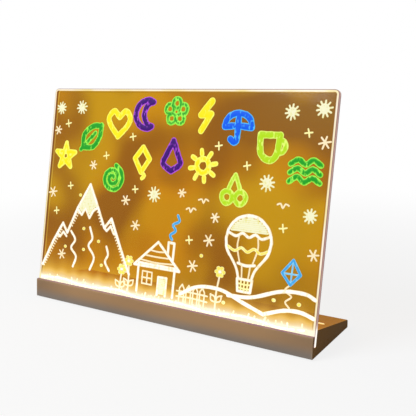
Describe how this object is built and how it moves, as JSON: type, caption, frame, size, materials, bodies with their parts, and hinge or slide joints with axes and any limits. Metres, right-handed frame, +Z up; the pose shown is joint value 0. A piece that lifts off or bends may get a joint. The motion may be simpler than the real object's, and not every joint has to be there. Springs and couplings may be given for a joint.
{
  "type": "led writing board",
  "caption": "Edge-lit acrylic writing panel, leaned back in the slot of a wedge base that holds a lamp strip, its control board, a mode button and a rear power inlet.",
  "frame": {"origin": "on the surface that the board stands on, under the middle of its box", "axes": "+X along the board, +Y to its rear, +Z up"},
  "size_m": [0.3, 0.0769, 0.2058],
  "materials": {
    "acrylic": "clear polished sheet, lit amber",
    "base_plastic": "fine moulded grain",
    "foot_rubber": "matt",
    "screw_steel": "plated",
    "tinned_metal": "bright plated",
    "strip_white": "coated flexible board",
    "lamp_case": "pale case with a clear window",
    "board_green": "coated laminate",
    "moulded_black": "moulded",
    "moulded_white": "moulded",
    "button_clear": "milky, lit from below",
    "lead_red": "soft insulation",
    "lead_black": "soft insulation",
    "marker_ink": "dried marker ink, glowing at the edge light"
  },
  "bodies": {
    "base": {"base_housing": "base_plastic", "bottom_cover": "base_plastic", "cover_screw_1": "screw_steel", "cover_screw_2": "screw_steel", "cover_screw_3": "screw_steel", "cover_screw_4": "screw_steel", "cover_screw_5": "screw_steel", "cover_screw_6": "screw_steel", "foot_front_left": "foot_rubber", "foot_front_right": "foot_rubber", "foot_rear_left": "foot_rubber", "foot_rear_right": "foot_rubber", "led_strip_board": "strip_white", "led_01": "lamp_case", "led_02": "lamp_case", "led_03": "lamp_case", "led_04": "lamp_case", "led_05": "lamp_case", "led_06": "lamp_case", "led_07": "lamp_case", "led_08": "lamp_case", "led_09": "lamp_case", "led_10": "lamp_case", "led_11": "lamp_case", "led_12": "lamp_case", "led_13": "lamp_case", "led_14": "lamp_case", "led_15": "lamp_case", "led_16": "lamp_case", "led_17": "lamp_case", "led_18": "lamp_case", "strip_resistor_1": "moulded_black", "strip_resistor_2": "moulded_black", "strip_resistor_3": "moulded_black", "strip_resistor_4": "moulded_black", "strip_resistor_5": "moulded_black", "strip_resistor_6": "moulded_black", "control_board": "board_green", "board_screw_1": "screw_steel", "board_screw_2": "screw_steel", "inlet_shell": "tinned_metal", "inlet_tongue": "moulded_black", "switch_body": "moulded_black", "indicator_led": "moulded_white", "controller_chip": "moulded_black", "driver_transistor": "moulded_black", "board_capacitor": "tinned_metal", "strip_socket": "moulded_white", "strip_plug": "moulded_white", "lead_positive": "lead_red", "lead_negative": "lead_black"},
    "panel": {"acrylic_panel": "acrylic"},
    "button": {"mode_button": "button_clear", "switch_plunger": "moulded_black"}
  },
  "joints": [
    {"name": "panel_lift", "type": "slide", "parent": "base", "child": "panel", "axis": [0, 0.2079, 0.9781], "range_m": [0, 0.009]},
    {"name": "button_press", "type": "slide", "parent": "base", "child": "button", "axis": [0, 0, -1], "range_m": [0, 0.0005], "stiffness_N_per_m": 2400}
  ]
}
